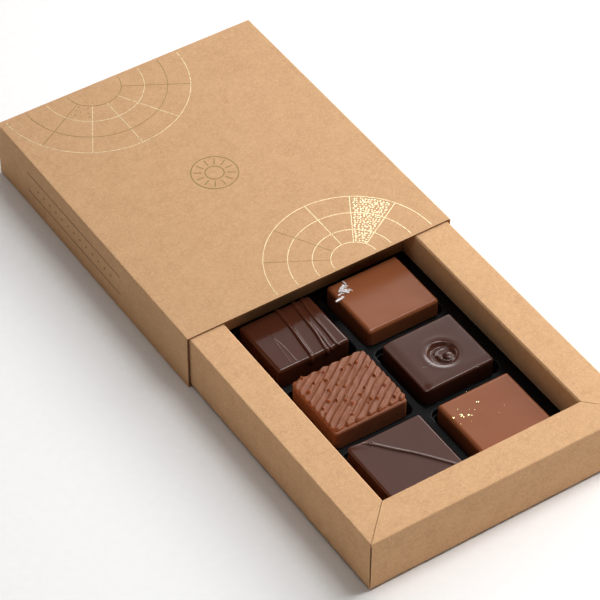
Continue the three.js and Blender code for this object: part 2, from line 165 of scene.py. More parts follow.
def two_tones(tree, value, tones):
    """The first tone where a noise is low, and the second where it is high."""
    node = tree.nodes.new("ShaderNodeValToRGB")
    for element, position, color in zip(node.color_ramp.elements, (TONE_FROM, TONE_TO), tones):
        element.position = position
        element.color = (*color, 1.0)
    tree.links.new(value, node.inputs["Fac"])
    return node.outputs["Color"]


def span(tree, value, from_low, from_high, to_low, to_high, kind="SMOOTHSTEP"):
    """A value taken from one range to another."""
    return add_node(tree, "ShaderNodeMapRange", "Result", {
        "Value": value, "From Min": from_low, "From Max": from_high, "To Min": to_low,
        "To Max": to_high}, interpolation_type=kind)


def blend_colors(tree, factor, first, second):
    inputs = dict(zip(MIX_INPUTS, (factor, first, second)))
    return add_node(tree, "ShaderNodeMix", MIX_OUTPUT, inputs, data_type="RGBA")


def math_node(tree, operation, first, second):
    return add_node(tree, "ShaderNodeMath", "Value", {0: first, 1: second}, operation=operation)


def bump(tree, shader, height, depth_mm, strength=0.5):
    normal = add_node(tree, "ShaderNodeBump", "Normal", {
        "Strength": strength, "Distance": depth_mm * MM, "Height": height})
    tree.links.new(normal, shader.inputs["Normal"])


def mottled(name, tones, size_mm, roughness, detail=3.0, bump_mm=0.0):
    """A matt material whose two tones lie in patches of a size."""
    material, tree, shader, place = new_material(name)
    tone = noise(tree, place, size_mm, detail=detail)
    tree.links.new(two_tones(tree, tone, tones), shader.inputs["Base Color"])
    shader.inputs["Roughness"].default_value = roughness
    if bump_mm:
        bump(tree, shader, noise(tree, place, size_mm / 2), bump_mm)
    return material


def kraft_card(name, painted_light_scale):
    """Cloudy card with flecks, light and dark fibres, and a few dark specks."""
    material, tree, shader, place = new_material(name)

    # painted_light_scale brightens or darkens every tone but the specks' one. The sleeve's card takes a
    # lower scale than the tray's, as painted shade for light that falls off toward the back.
    def toned(color):
        return tuple(painted_light_scale * c for c in color)

    clouds = noise(tree, place, 6.0, detail=4.0, roughness=0.65)
    flecks = noise(tree, place, 1.3, detail=4.0, roughness=0.65, distortion=1.4)
    fibres = noise(tree, place, 0.55, detail=3.0, roughness=0.6, distortion=2.5)
    specks = noise(tree, place, 0.7, detail=1.0)
    color = two_tones(tree, clouds, [toned(c) for c in CARD_TONES])
    # A layer's noise, the values from and to which it fades in, its strength and its colour
    layers = (
        (flecks, 0.42, 0.62, 0.55, toned(CARD_FLECK)),
        (fibres, 0.52, 0.66, 0.6, toned(LIGHT_FIBRE)),
        (fibres, 0.47, 0.30, 0.5, toned(DARK_FIBRE)),
        (specks, 0.735, 0.80, 0.6, CARD_SPECK),
    )
    for value, fade_from, fade_to, strength, tint in layers:
        color = blend_colors(tree, span(tree, value, fade_from, fade_to, 0.0, strength), color, tint)
    tree.links.new(color, shader.inputs["Base Color"])
    shader.inputs["Roughness"].default_value = 0.88
    shader.inputs["Specular IOR Level"].default_value = 0.3
    bump(tree, shader, math_node(tree, "ADD", fibres, flecks), 0.06)
    return material


def gloss_plastic(name):
    """Black plastic with smears in its gloss and a little dust."""
    material, tree, shader, place = new_material(name)
    smear = noise(tree, place, 6.0)
    tree.links.new(span(tree, smear, 0.35, 0.7, 0.14, 0.26), shader.inputs["Roughness"])
    dusty = span(tree, noise(tree, place, 0.5, detail=1.0), 0.76, 0.80, 0.0, 0.5)
    tree.links.new(blend_colors(tree, dusty, PLASTIC_BLACK, DUST), shader.inputs["Base Color"])
    shader.inputs["IOR"].default_value = 1.19
    bump(tree, shader, noise(tree, place, 9.0), 0.25)
    return material


def chocolate(name, tones, roughness, grain_mm=0.0, ior=1.4):
    material, tree, shader, place = new_material(name)
    tone = noise(tree, place, 5.0, detail=3.0, roughness=0.55)
    tree.links.new(two_tones(tree, tone, tones), shader.inputs["Base Color"])
    shader.inputs["Roughness"].default_value = roughness
    shader.inputs["IOR"].default_value = ior
    if grain_mm:
        bump(tree, shader, noise(tree, place, 0.9, detail=3.0), grain_mm, 0.6)
    return material


def painted_chocolate(name, tones, paints):
    """Chocolate that also takes colours where the mesh's named attributes are high."""
    material = chocolate(name, tones, 0.38, grain_mm=0.06, ior=1.3)
    tree = material.node_tree
    shader = tree.nodes["Principled BSDF"]
    mixed = shader.inputs["Base Color"].links[0].from_socket
    for attribute_name, strength, paint in paints:
        painted = add_node(tree, "ShaderNodeAttribute", "Fac", {}, attribute_name=attribute_name)
        mixed = blend_colors(tree, math_node(tree, "MULTIPLY", painted, strength), mixed, paint)
    tree.links.new(mixed, shader.inputs["Base Color"])
    return material


def gold(name, color, roughness, depth_mm):
    """Metal with an uneven tone, gloss and face."""
    material, tree, shader, place = new_material(name)
    tone = noise(tree, place, 1.2, detail=3.0)
    shade = [c * 0.8 for c in color]
    tree.links.new(two_tones(tree, tone, (shade, color)), shader.inputs["Base Color"])
    shader.inputs["Metallic"].default_value = 1.0
    gloss = span(tree, tone, TONE_FROM, TONE_TO, roughness * 0.8, roughness * 1.3)
    tree.links.new(gloss, shader.inputs["Roughness"])
    bump(tree, shader, noise(tree, place, 0.8, detail=3.0), depth_mm, 0.6)
    return material


# Meshes

def new_object(name, points, faces, material, origin=(0, 0, 0), sharp=30):
    """A piece from points in millimetres. Folds past the sharp angle, in degrees, stay crisp."""
    mesh = bpy.data.meshes.new(name)
    mesh.from_pydata((np.asarray(points, float) * MM).tolist(), [], [list(f) for f in faces])
    mesh.validate()
    mesh.shade_smooth()
    mesh.set_sharp_from_angle(angle=math.radians(sharp))
    mesh.materials.append(material)
    piece = bpy.data.objects.new(name, mesh)
    piece.location = Vector(origin) * MM
    scene.collection.objects.link(piece)
    return piece


def joined(parts):
    """One list of points and faces from several."""
    points = []
    faces = []
    for part_points, part_faces in parts:
        start = len(points)
        points.extend(tuple(p) for p in part_points)
        faces.extend([start + i for i in face] for face in part_faces)
    return points, faces


def smoothstep(value, low, high):
    t = np.clip((value - low) / (high - low), 0, 1)
    return t * t * (3 - 2 * t)


def bell(distance, width):
    return np.exp(-((distance / width) ** 2))


def waves(x, y, size, seed, layers=5):
    """Smooth unevenness between about -1 and 1, with features of about the given size."""
    rng = np.random.default_rng(seed)
    total = np.zeros_like(x, dtype=float)
    for _ in range(layers):
        angle = rng.uniform(0, 2 * math.pi)
        length = size * rng.uniform(0.8, 2.2)
        phase = rng.uniform(0, 2 * math.pi)
        total += np.sin(2 * math.pi * (x * math.cos(angle) + y * math.sin(angle)) / length + phase)
    return total / layers


def polar(centre, radius, angle):
    """The point at a radius and an angle in radians from a centre."""
    return (centre[0] + radius * math.cos(angle), centre[1] + radius * math.sin(angle))


def arc(centre, radius, start, stop, steps):
    """Points on an arc of a circle, by angle in degrees."""
    return [polar(centre, radius, a) for a in np.radians(np.linspace(start, stop, steps + 1))]


def rounded_rect(half_x, half_y, radius, steps):
    """A rounded rectangle round the origin, counter-clockwise from its right side."""
    ring = []
    for corner, (sign_x, sign_y) in enumerate(((1, 1), (-1, 1), (-1, -1), (1, -1))):
        centre = (sign_x * (half_x - radius), sign_y * (half_y - radius))
        ring.extend(arc(centre, radius, corner * 90, corner * 90 + 90, steps))
    return ring


def rings_of(count, rings, start=0):
    """Point numbers of rings that follow one another, with a count of points in each."""
    return [list(range(start + i * count, start + (i + 1) * count)) for i in range(rings)]


def strip(rings, flip=False):
    """Faces between closed rings of point numbers, each joined to the next one."""
    faces = []
    for here, there in zip(rings, rings[1:]):
        for k in range(len(here)):
            n = (k + 1) % len(here)
            outer = [here[n], there[n], there[k]]
            faces.append([here[k]] + (outer[::-1] if flip else outer))
    return faces


def grid_faces(number):
    """Each cell's face, in a grid of point numbers."""
    return np.stack([number[:-1, :-1], number[1:, :-1], number[1:, 1:], number[:-1, 1:]], -1)


def bar_faces(stations):
    """The faces of a closed bar with four points at each station along it."""
    rings = rings_of(4, stations)
    return [rings[0][::-1], rings[-1]] + strip(rings)


def from_point(x, y, place):
    return np.hypot(x - place[0], y - place[1])


def smooth_path(points, steps=24):
    """A Catmull-Rom curve through points, as an array of points."""
    p = [np.array(q, float) for q in points]
    p = [2 * p[0] - p[1]] + p + [2 * p[-1] - p[-2]]
    path = []
    for a, b, c, d in zip(p, p[1:], p[2:], p[3:]):
        for t in np.linspace(0, 1, steps, endpoint=False):
            path.append(0.5 * (2 * b + (c - a) * t + (2 * a - 5 * b + 4 * c - d) * t ** 2
                               + (3 * b - a - 3 * c + d) * t ** 3))
    path.append(p[-2])
    return np.array(path)


def along_path(x, y, path):
    """Each point's distance from a path, and the share of the path's length at which it is nearest."""
    best = np.full(x.shape, 1e9)
    share = np.zeros(x.shape)
    lengths = np.linalg.norm(np.diff(path, axis=0), axis=1)
    before = np.concatenate([[0], np.cumsum(lengths)])
    for i, length in enumerate(lengths):
        a = path[i]
        d = (path[i + 1] - a) / max(length, 1e-9)
        t = np.clip((x - a[0]) * d[0] + (y - a[1]) * d[1], 0, length)
        distance = np.hypot(x - a[0] - t * d[0], y - a[1] - t * d[1])
        nearer = distance < best
        best[nearer] = distance[nearer]
        share[nearer] = (before[i] + t[nearer]) / before[-1]
    return best, share


# Card: sleeve and tray

def crease(x, top, inward):
    """A shallow crease in an upright wall below its fold, from the lowest point up."""
    return [(x, top - CREASE_DROP - CREASE_HALF), (x + inward * CREASE_DEPTH, top - CREASE_DROP),
            (x, top - CREASE_DROP + CREASE_HALF)]


def sleeve_section(half_x, low, high, radius, creased):
    """A ring round the sleeve, counter-clockwise from its right side."""
    middle = (low + high) / 2
    ring = [(x, z + middle) for x, z in rounded_rect(half_x, (high - low) / 2, radius, 8)]
    if not creased:
        return ring
    upper = len(ring) // 2
    return crease(half_x, high, -1) + ring[:upper] + crease(-half_x, high, 1)[::-1] + ring[upper:]


def sleeve_mesh(low, high):
    """The sleeve's points and faces. The cut edges' faces come last."""
    half_x = (high[0] - low[0]) / 2 - FOIL
    top = high[2] - FOIL
    outer = sleeve_section(half_x, low[2], top, FOLD_R, creased=True)
    inner = sleeve_section(half_x - EDGE, low[2] + EDGE, top - EDGE, FOLD_R - EDGE, creased=False)
    steps = 30
    points = []
    faces = []
    for ring, flip in ((outer, True), (inner, False)):
        faces += strip(rings_of(len(ring), steps + 1, len(points)), flip)
        for i in range(steps + 1):
            y = low[1] + (high[1] - low[1]) * i / steps
            points.extend((x, y, z) for x, z in ring)
    # Board edges at both ends, between each outer point and the inner point nearest to it
    count = len(outer)
    nearest = [min(range(len(inner)), key=lambda k, p=p: math.dist(inner[k], p)) for p in outer]
    edge_start = len(faces)
    for end in (0, steps):
        first = count * (steps + 1) + end * len(inner)
        for k in range(count):
            n = (k + 1) % count
            face = [end * count + k, end * count + n, first + nearest[n]]
            if nearest[k] != nearest[n]:
                face.append(first + nearest[k])
            faces.append(face if end == 0 else face[::-1])
    return points, faces, edge_start


def frame_profile(height):
    """The tray's folded strip, as inset from its outer face and height: outer skin, then inner skin."""
    leg = 3.0
    soften = 0.1
    outer = [(leg, 0.0)]
    outer += arc((FOLD_R, FOLD_R), FOLD_R, 270, 180, 6)
    outer += crease(0, height, 1)
    outer += arc((FOLD_R, height - FOLD_R), FOLD_R, 180, 90, 8)
    outer += [(FRAME_W - INNER_FOLD_R, height), (FRAME_W - soften, height - INNER_FOLD_R + soften),
              (FRAME_W, height - INNER_FOLD_R - soften), (FRAME_W, BOARD / 2)]
    inner = [(FRAME_W - BOARD, BOARD / 2), (FRAME_W - BOARD, height - BOARD), (BOARD, height - BOARD),
             (BOARD, BOARD), (leg, BOARD)]
    return outer + inner


def frame_side(half_long, half_short, height, turn):
    """One mitred side of the frame, made along x and facing -y, and then turned.

    The mitre's slit is narrow at the top and closed at the foot, and the top sags a little.
    """
    slit = 0.4
    slit_at_top = 0.32
    sag = 0.12
    steps = 24
    profile = frame_profile(height)
    points = []
    for i in range(steps + 1):
        share = 2 * i / steps - 1
        for inset, z in profile:
            opening = slit_at_top + (1 - slit_at_top) * smoothstep(height - z, 0.2, 2.5)
            reach = half_long - inset - slit * opening * smoothstep(z, -1.0, 2.0)
            drop = sag * (1 - share ** 2) * smoothstep(inset, 0, 3) * smoothstep(z, height - 2, height)
            points.append((share * reach, -half_short + inset, z - drop))
    rings = rings_of(len(profile), steps + 1)
    faces = strip(rings, flip=True) + [rings[0], rings[-1][::-1]]
    c = math.cos(turn)
    s = math.sin(turn)
    return [(c * x - s * y, s * x + c * y, z) for x, y, z in points], faces


def tray_mesh(low, high):
    """Four frame sides and a floor inside them."""
    half_x, half_y, _ = (high - low) / 2
    half_x -= TRAY_PLAY
    height = high[2] - low[2]
    parts = []
    for number in range(4):
        halves = (half_x, half_y) if number % 2 == 0 else (half_y, half_x)
        parts.append(frame_side(*halves, height, math.radians(90 * number)))
    floor_inset = 2.0
    floor_low = 0.02
    x = half_x - floor_inset
    y = half_y - floor_inset
    corners = ((-x, -y), (x, -y), (x, y), (-x, y))
    floor_points = [(*corner, z) for z in (floor_low, BOARD) for corner in corners]
    parts.append((floor_points, bar_faces(2)))
    points, faces = joined(parts)
    return np.array(points) + [*(low + high)[:2] / 2, low[2]], faces


# Insert

def pocket_centre(column, row, insert_centre):
    return (insert_centre[0] + (column - (COLUMNS - 1) / 2) * PITCH_X,
            insert_centre[1] + (row - (ROWS - 1) / 2) * PITCH_Y + GRID_SHIFT)


def pocket_stations(top, floor_z):
    """Outsets from a pocket's rim, and heights: a round lip, a ledge, a drafted wall and a round foot."""
    lip = 0.55
    foot = 1.0
    ledge = 0.3
    ledge_z = top - 2.0
    draft = (RIM_X - BASE_X) / 2
    stations = []
    for angle in np.radians(np.linspace(0, 80, 7)):
        stations.append((lip * (1 - math.sin(angle)), top - lip * (1 - math.cos(angle))))
    stations += [(-0.1, ledge_z + 0.15), (-0.2, ledge_z + 0.03), (-0.1 - ledge, ledge_z - 0.05)]
    for angle in np.radians(np.linspace(10, 90, 6)):
        stations.append((-draft - foot * (1 - math.cos(angle)), floor_z + foot * (1 - math.sin(angle))))
    return stations


def insert_mesh(low, high):
    """The moulded sheet: a flat flange round a pocket for each praline."""
    centre = (low + high) / 2
    half_x, half_y, _ = (high - low) / 2
    sheet_r = 1.0
    floor_r = 0.8
    stations = pocket_stations(high[2], low[2] + SHEET)
    sheet = rounded_rect(half_x, half_y, sheet_r, 6)
    points = [(x + centre[0], y + centre[1], high[2]) for x, y in sheet]
    faces = []
    loops = [list(range(len(points)))]
    for column in range(COLUMNS):
        for row in range(ROWS):
            cx, cy = pocket_centre(column, row, centre)
            rings = []
            for outset, z in stations:
                radius = max(RIM_R + outset, floor_r)
                ring = rounded_rect(RIM_X / 2 + outset, RIM_Y / 2 + outset, radius, 8)
                rings += rings_of(len(ring), 1, len(points))
                points.extend((x + cx, y + cy, z) for x, y in ring)
            faces += strip(rings, flip=True) + [rings[-1]]
            loops.append(rings[0])
    faces.extend(flat_with_holes(points, loops))
    return points, faces


def flat_with_holes(points, loops):
    """Triangles of a flat outline with rounded holes, in the XY plane."""
    used = [i for loop in loops for i in loop]
    index = {v: k for k, v in enumerate(used)}
    edges = [(index[a], index[b]) for loop in loops for a, b in zip(loop, loop[1:] + loop[:1])]
    plane = [Vector(points[i][:2]) for i in used]
    triangles = delaunay_2d_cdt(plane, edges, [], 0, 1e-7)[2]
    # A triangle between three points of one hole's edge lies in the hole
    holes = [set(loop) for loop in loops[1:]]
    kept = []
    for triangle in triangles:
        corners = [used[k] for k in triangle]
        if not any(hole.issuperset(corners) for hole in holes):
            kept.append(corners)
    return kept


# Praline bodies

def slab(size_x, size_y, profile, cell):
    """A block with a fine grid on top and rings down its side.

    profile lists an inset, a height and the skin's slope in degrees, from the top's edge down. Returns
    points, normals, unfolded places, which go on past the edge by the way down the side, and faces.
    """
    edge = profile[0][0]
    nx = int(round((size_x - 2 * edge) / cell))
    ny = int(round((size_y - 2 * edge) / cell))
    u, v = np.meshgrid(np.linspace(-1, 1, nx + 1), np.linspace(-1, 1, ny + 1), indexing="ij")
    m = np.maximum(np.maximum(np.abs(u), np.abs(v)), 1e-6)

    def outline(u, v, inset):
        half = np.array([size_x / 2 - inset, size_y / 2 - inset])
        radius = max(CORNER_R - inset, 0.25)
        p = np.stack([u * half[0], v * half[1]], -1)
        core = np.clip(p, -(half - radius), half - radius)
        d = p - core
        length = np.maximum(np.linalg.norm(d, axis=-1, keepdims=True), 1e-9)
        out = d / length
        return core + out * radius, out

    half = np.array([size_x / 2 - edge, size_y / 2 - edge])
    rim, _ = outline(u / m, v / m, edge)
    square = np.stack([u, v], -1) * half
    flat = square + (rim - square / m[..., None]) * smoothstep(m, 0.72, 1.0)[..., None]
    top_z = profile[0][1]
    points = [np.column_stack([flat.reshape(-1, 2), np.full(flat.size // 2, top_z)])]
    normals = [np.tile([0.0, 0.0, 1.0], (flat.size // 2, 1))]
    unfolded = [flat.reshape(-1, 2)]
    number = np.arange((nx + 1) * (ny + 1)).reshape(nx + 1, ny + 1)
    faces = grid_faces(number).reshape(-1, 4).tolist()
    ring = np.concatenate([number[:, 0], number[-1, 1:], number[-2::-1, -1], number[0, -2:0:-1]])
    ring_u = u.reshape(-1)[ring]
    ring_v = v.reshape(-1)[ring]
    edge_place = unfolded[0][ring]
    count = len(ring)
    rings = [ring.tolist()]
    way = 0.0
    for (inset0, z0, _), (inset1, z1, slope) in zip(profile, profile[1:]):
        way += math.hypot(inset1 - inset0, z1 - z0)
        place, out = outline(ring_u, ring_v, inset1)
        lean = math.radians(slope)
        rings += rings_of(count, 1, sum(len(p) for p in points))
        points.append(np.column_stack([place, np.full(count, z1)]))
        normals.append(np.column_stack([out * math.cos(lean), np.full(count, math.sin(lean))]))
        unfolded.append(edge_place + out * way)
    faces += strip(rings, flip=True) + [rings[-1][::-1]]
    return np.concatenate(points), np.concatenate(normals), np.concatenate(unfolded), faces


def side_profile(edge, top=PRALINE_H):
    """Insets, heights and slopes from the top's edge, round it and down the side to a round foot."""
    foot = 0.5
    edge_steps = 7
    rows = 16
    foot_steps = 3
    profile = []
    for angle in np.linspace(90, 0, edge_steps + 1):
        a = math.radians(angle)
        profile.append((edge * (1 - math.cos(a)), top - edge * (1 - math.sin(a)), angle))
    for z in np.linspace(top - edge, foot, rows + 1)[1:]:
        profile.append((0.0, z, 0.0))
    for angle in np.linspace(0, -90, foot_steps + 1)[1:]:
        a = math.radians(angle)
        profile.append((foot * (1 - math.cos(a)), foot * (1 + math.sin(a)), angle))
    return profile


def moulded(relief, edge, seed, size_x=PRALINE_X, size_y=PRALINE_Y, cell=CELL):
    """A praline's block with relief along its skin, from a function of the unfolded places."""
    points, normals, unfolded, faces = slab(size_x, size_y, side_profile(edge), cell)
    x = unfolded[:, 0]
    y = unfolded[:, 1]
    uneven = 0.05 * waves(x, y, 11.0, seed)
    height = (relief(x, y) + uneven) * smoothstep(points[:, 2], 0.5, 2.0)
    return points + normals * height[:, None], faces


def dome(distance, radius, power=0.5):
    """A dome of height 1 over a radius. A low power makes it flatter on top."""
    return np.clip(1 - (distance / radius) ** 2, 0, 1) ** power


def ridge_height(x, y, path, width, height, start_taper=0.06, uneven=0.1, seed=3):
    """A round line of chocolate along a path, with soft feet and tapered ends."""
    distance, share = along_path(x, y, path)
    width_here = width * (1 + uneven * waves(share * 40, share * 0, 12, seed))
    foot = 0.25 * bell(distance, width_here * 1.25)
    taper = smoothstep(share, 0, start_taper) * smoothstep(1 - share, 0, 0.02)
    return height * taper * np.maximum(dome(distance, width_here, 0.75), foot)


def flat_relief(x, y):
    return np.zeros_like(x)


# Drizzled lines: each line's points, half width and rise
DRIZZLE = [
    ([(-6.6, 11.5), (-7.0, 2.3), (-8.1, -11.0)], 0.22, 0.045),
    ([(-7.0, 2.3), (-6.1, -3.1), (-6.1, -11.2)], 0.22, 0.05),
    ([(1.0, 13.5), (0.5, 3.2), (-0.1, -3.5), (-0.9, -11.3), (-1.1, -14.2)], 0.78, 0.52),
    ([(7.1, 13.5), (6.4, 3.4), (5.8, -4.2), (4.7, -10.6), (4.5, -13.8)], 0.72, 0.48),
    ([(6.3, 8.5), (6.9, 0.3), (6.6, -5.9), (5.9, -12.1), (5.8, -13.0)], 0.42, 0.3),
    ([(10.3, 13.2), (9.2, 3.4), (9.0, -4.1), (8.5, -11.6), (8.4, -12.4)], 0.55, 0.36),
]
# Beads at the ends of two lines: place, radius and rise, and how much longer than wide they are
BEADS = [((-1.1, -13.6), 0.95, 0.45), ((4.6, -13.2), 0.85, 0.4)]
BEAD_LENGTH = 1.3


def lines_relief(x, y):
    height = np.zeros_like(x)
    for number, (points, width, rise) in enumerate(DRIZZLE):
        height = np.maximum(height, ridge_height(x, y, smooth_path(points, 10), width, rise, seed=number))
    for (bead_x, bead_y), radius, rise in BEADS:
        distance = np.hypot(x - bead_x, (y - bead_y) / BEAD_LENGTH)
        height = np.maximum(height, rise * dome(distance, radius))
    return height


# Swirl: a round hollow, with a ring that winds outward and a knob in it
HOLLOW = (1.2, -1.2)
HOLLOW_R = 4.9
SOFT_DEPTH = 0.28
STEEP_DEPTH = 1.25
SPIRAL = (2.2, -1.7)
SPIRAL_START = 145
SPIRAL_R = 2.55
SPIRAL_GROWTH = 0.9
RING_RISE = 0.85
RING_HALF = 0.52
KNOB = (2.7, -2.4)
KNOB_R = 1.75
KNOB_RISE = 1.15
DRIP = (-0.5, -0.7)
NICK = (7.0, -12.0)
HAIRLINE = [(-8.2, -2.8), (-6.5, -3.1), (-4.8, -2.9)]


def swirl_relief(x, y):
    from_rim = from_point(x, y, HOLLOW) - HOLLOW_R
    hollow = -SOFT_DEPTH * smoothstep(-from_rim, -2.2, 0.4) - STEEP_DEPTH * smoothstep(-from_rim, -0.4, 1.2)
    angle = np.arctan2(y - SPIRAL[1], x - SPIRAL[0])
    turn = np.mod(np.degrees(angle) - SPIRAL_START, 360) / 360
    frontward = 0.5 - 0.5 * np.sin(angle)
    ring_fade = smoothstep(turn, 0, 0.03) * (0.3 + 0.7 * smoothstep(frontward, 0.0, 0.7))
    from_ring = from_point(x, y, SPIRAL) - SPIRAL_R - SPIRAL_GROWTH * turn
    ring = RING_RISE * ring_fade * bell(from_ring, RING_HALF)
    drip = 0.4 * bell(from_point(x, y, DRIP), 0.5)
    from_knob = from_point(x, y, KNOB)
    knob = KNOB_RISE * dome(from_knob, KNOB_R, 0.38)
    curl = 0.2 * bell(from_knob - 0.9, 0.22) * smoothstep(np.cos(angle - 2.2), 0.2, 0.9)
    from_left = np.arctan2(y - HOLLOW[1], x - HOLLOW[0]) - math.radians(-40)
    lip = 0.1 * (0.5 - 0.5 * np.cos(from_left)) * bell(from_rim - 1.4, 1.2)
    # The top falls away toward its edges, most of all at the left
    inward = np.minimum(PRALINE_X / 2 - np.abs(x), PRALINE_Y / 2 - np.abs(y))
    fall = -0.04 * (1 - smoothstep(inward, 0.4, 3.4)) - 0.14 * (1 - smoothstep(y + PRALINE_Y / 2, 0.4, 3.4))
    fall -= 0.5 * (1 - smoothstep(x + PRALINE_X / 2, 0.4, 4.6))
    from_hairline, share = along_path(x, y, smooth_path(HAIRLINE, 6))
    crack = -0.07 * bell(from_hairline, 0.16) * smoothstep(share, 0, 0.3)
    nick = -0.25 * bell(from_point(x, y, NICK), 0.3)
    shape = hollow + ring + drip + knob + curl + lip
    return shape * smoothstep(inward, 0.5, 1.2) + fall + crack + nick


# Slanting line, the swell at its start, and the bead with a pin hole on it
SLANT = [(-10.2, 12.3), (-8.4, 11.0), (-6.3, 9.7), (-1.8, 4.3), (3.4, -1.6), (9.5, -9.8), (11.3, -12.6)]
SWELL = [(-11.6, 12.4), (-8.6, 10.6), (-5.0, 7.6)]
SLANT_BEAD = (-6.3, 9.9)


def slant_relief(x, y):
    line = ridge_height(x, y, smooth_path(SLANT), 0.55, 0.62, start_taper=0.12, uneven=0.04)
    from_bead = from_point(x, y, SLANT_BEAD)
    bead = 0.85 * dome(from_bead, 0.95)
    from_swell, share = along_path(x, y, smooth_path(SWELL, 6))
    swell = 0.3 * (1 - share) * bell(from_swell, 1.5)
    hole = 0.55 * bell(from_bead, 0.3)
    return np.maximum(np.maximum(line, bead), swell) - hole


# Textured praline: a block under a poured layer with slanting ridges and nibs

RIDGE_ANGLE = math.radians(34.5)
RIDGE_PITCH = 2.3
RIDGE_ROWS = range(-9, 10)
LAYER_Z = PRALINE_H - 0.3
LAYER_THICK = 0.55
# Layer's outline: how far its left, back and right sides lie out, and its rounded rectangle
LAYER_LEFT = 13.3
LAYER_BACK = 13.45
LAYER_RIGHT = 13.95
LAYER_CENTRE = (0.25, 0.9)
LAYER_HALF = (13.7, 12.6)
LAYER_CORNER = 2.2
TONGUE_START = -11.6
NIBS = [
    (-9.5, 12.8), (-11.0, 6.7), (-1.9, 11.4), (6.6, 9.7), (8.5, 9.1), (10.8, 6.2), (3.4, 9.3), (10.2, 1.2),
    (-3.5, 8.0), (-4.9, 4.0), (0.0, 2.6), (2.4, -2.8), (4.9, -1.1), (10.6, -3.9), (10.5, -9.6), (3.9, -6.2),
    (2.3, -7.3), (5.4, -7.2), (-2.4, -4.7), (-8.0, 0.0), (-11.1, -3.9), (-4.8, -8.6), (-5.9, -1.1),
    (-11.2, -1.8), (-3.2, -2.7), (-7.6, 8.9), (-1.7, 4.6),
]
BIG_NIB = (-2.4, -4.7)


def ridge_axes(x, y):
    """A point's way along the ridges, and across them."""
    c = math.cos(RIDGE_ANGLE)
    s = math.sin(RIDGE_ANGLE)
    return x * c + y * s, y * c - x * s


def ridge_phase(x, y):
    return ridge_axes(x, y)[1] / RIDGE_PITCH + 0.08 * waves(x, y, 9.0, 11)


def ridge_end(row):
    """Where a ridge ends in front: a tongue whose tip keeps near the praline's front edge."""
    along_front = TONGUE_START / math.sin(RIDGE_ANGLE) - row * RIDGE_PITCH / math.tan(RIDGE_ANGLE)
    return along_front + 0.4 * math.sin(2.7 * row)


def layer_inside(x, y):
    """How far a point lies inside the layer's outline, in millimetres: tongues in front, waves elsewhere."""
    wave = np.abs(np.cos(math.pi * ridge_phase(x, y))) - 0.6
    qx = np.abs(x - LAYER_CENTRE[0]) - LAYER_HALF[0] + LAYER_CORNER
    qy = np.abs(y - LAYER_CENTRE[1]) - LAYER_HALF[1] + LAYER_CORNER
    body = LAYER_CORNER - np.hypot(np.maximum(qx, 0), np.maximum(qy, 0)) + 0.4 * wave
    # A side's distance, the depth of its scallops, and its unevenness: height, size and seed
    sides = ((x + LAYER_LEFT, 0.55, 0.1, 3.0, 21), (LAYER_BACK - y, 0.45, 0.12, 3.0, 22),
             (LAYER_RIGHT - x, 0.3, 0.2, 4.0, 23))
    for distance, scallop, uneven, size, seed in sides:
        body = np.minimum(body, distance + scallop * wave + uneven * waves(x, y, size, seed))
    along, across = ridge_axes(x, y)
    half = RIDGE_PITCH * 0.6
    blend = 0.28
    total = np.zeros(np.shape(x))
    for row in RIDGE_ROWS:
        past = np.maximum(ridge_end(row) + half - along, 0)
        reach = half - np.hypot(past, across - row * RIDGE_PITCH)
        total += np.exp(np.maximum(reach, -9) / blend)
    return np.minimum(body, blend * np.log(total))


def ridge_strength(x, y):
    """Ridges fade in and out along their length, as brush strokes do."""
    along = ridge_axes(x, y)[0]
    row = np.floor(ridge_phase(x, y) + 0.5)
    rng = np.random.default_rng(31)
    strength = np.ones(np.shape(x))
    for number in RIDGE_ROWS:
        for _ in range(2):
            at = rng.uniform(-12, 12)
            length = rng.uniform(2.0, 5.0)
            depth = rng.uniform(0.3, 0.75)
            dip = smoothstep(along, at, at + 0.6) * (1 - smoothstep(along, at + length, at + length + 2.0))
            strength = np.where(row == number, strength * (1 - depth * dip), strength)
    return strength


def textured_relief(x, y):
    """Ridges that are steeper on one side, with fine strokes along them."""
    phase = ridge_phase(x, y)
    crest = 0.5 - 0.5 * np.cos(2 * math.pi * np.mod(phase + 0.5, 1.0) ** 1.4)
    along = ridge_axes(x, y)[0]
    strokes = 0.24 * waves(phase * RIDGE_PITCH * 3.0, along * 0.2, 1.6, 41, layers=8)
    height = 0.58 * (1 + 0.5 * waves(x, y, 6.0, 43))
    return height * crest * ridge_strength(x, y) + strokes + 0.03 * waves(x, y, 1.5, 5, layers=8)


def nib_relief(x, y):
    """Nibs under the layer and their pin holes: height, where they are brown, and where painted shade
    darkens the pin holes.
    """
    rise = np.zeros(np.shape(x))
    paint = np.zeros(np.shape(x))
    pit = np.zeros(np.shape(x))
    rng = np.random.default_rng(7)
    for nib_x, nib_y in NIBS:
        radius = rng.uniform(0.5, 0.75)
        lean = rng.uniform(0, 2 * math.pi)
        distance = from_point(x, y, (nib_x, nib_y))
        rise += 1.35 * radius * smoothstep(radius * 1.25 - distance, 0, radius * 0.9)
        hole = from_point(x, y, polar((nib_x, nib_y), 0.5 * radius, lean))
        rise -= 0.8 * bell(hole, 0.27)
        # The pin hole is painted near black: painted shade in the hole
        pit = np.maximum(pit, bell(hole, 0.28))
        paint = np.maximum(paint, smoothstep(radius * 1.35 - distance, 0, radius * 0.35))
    # The big nib is a ring round a hole, half as wide again as it is deep, with painted shade in the hole
    big = np.hypot((x - BIG_NIB[0]) / 1.5, y - BIG_NIB[1])
    rise += 0.35 * bell(big - 0.55, 0.25) - 0.6 * bell(big, 0.3)
    paint = np.maximum(paint, bell(big - 0.5, 0.35))
    pit = np.maximum(pit, bell(big, 0.3))
    return rise, paint, pit


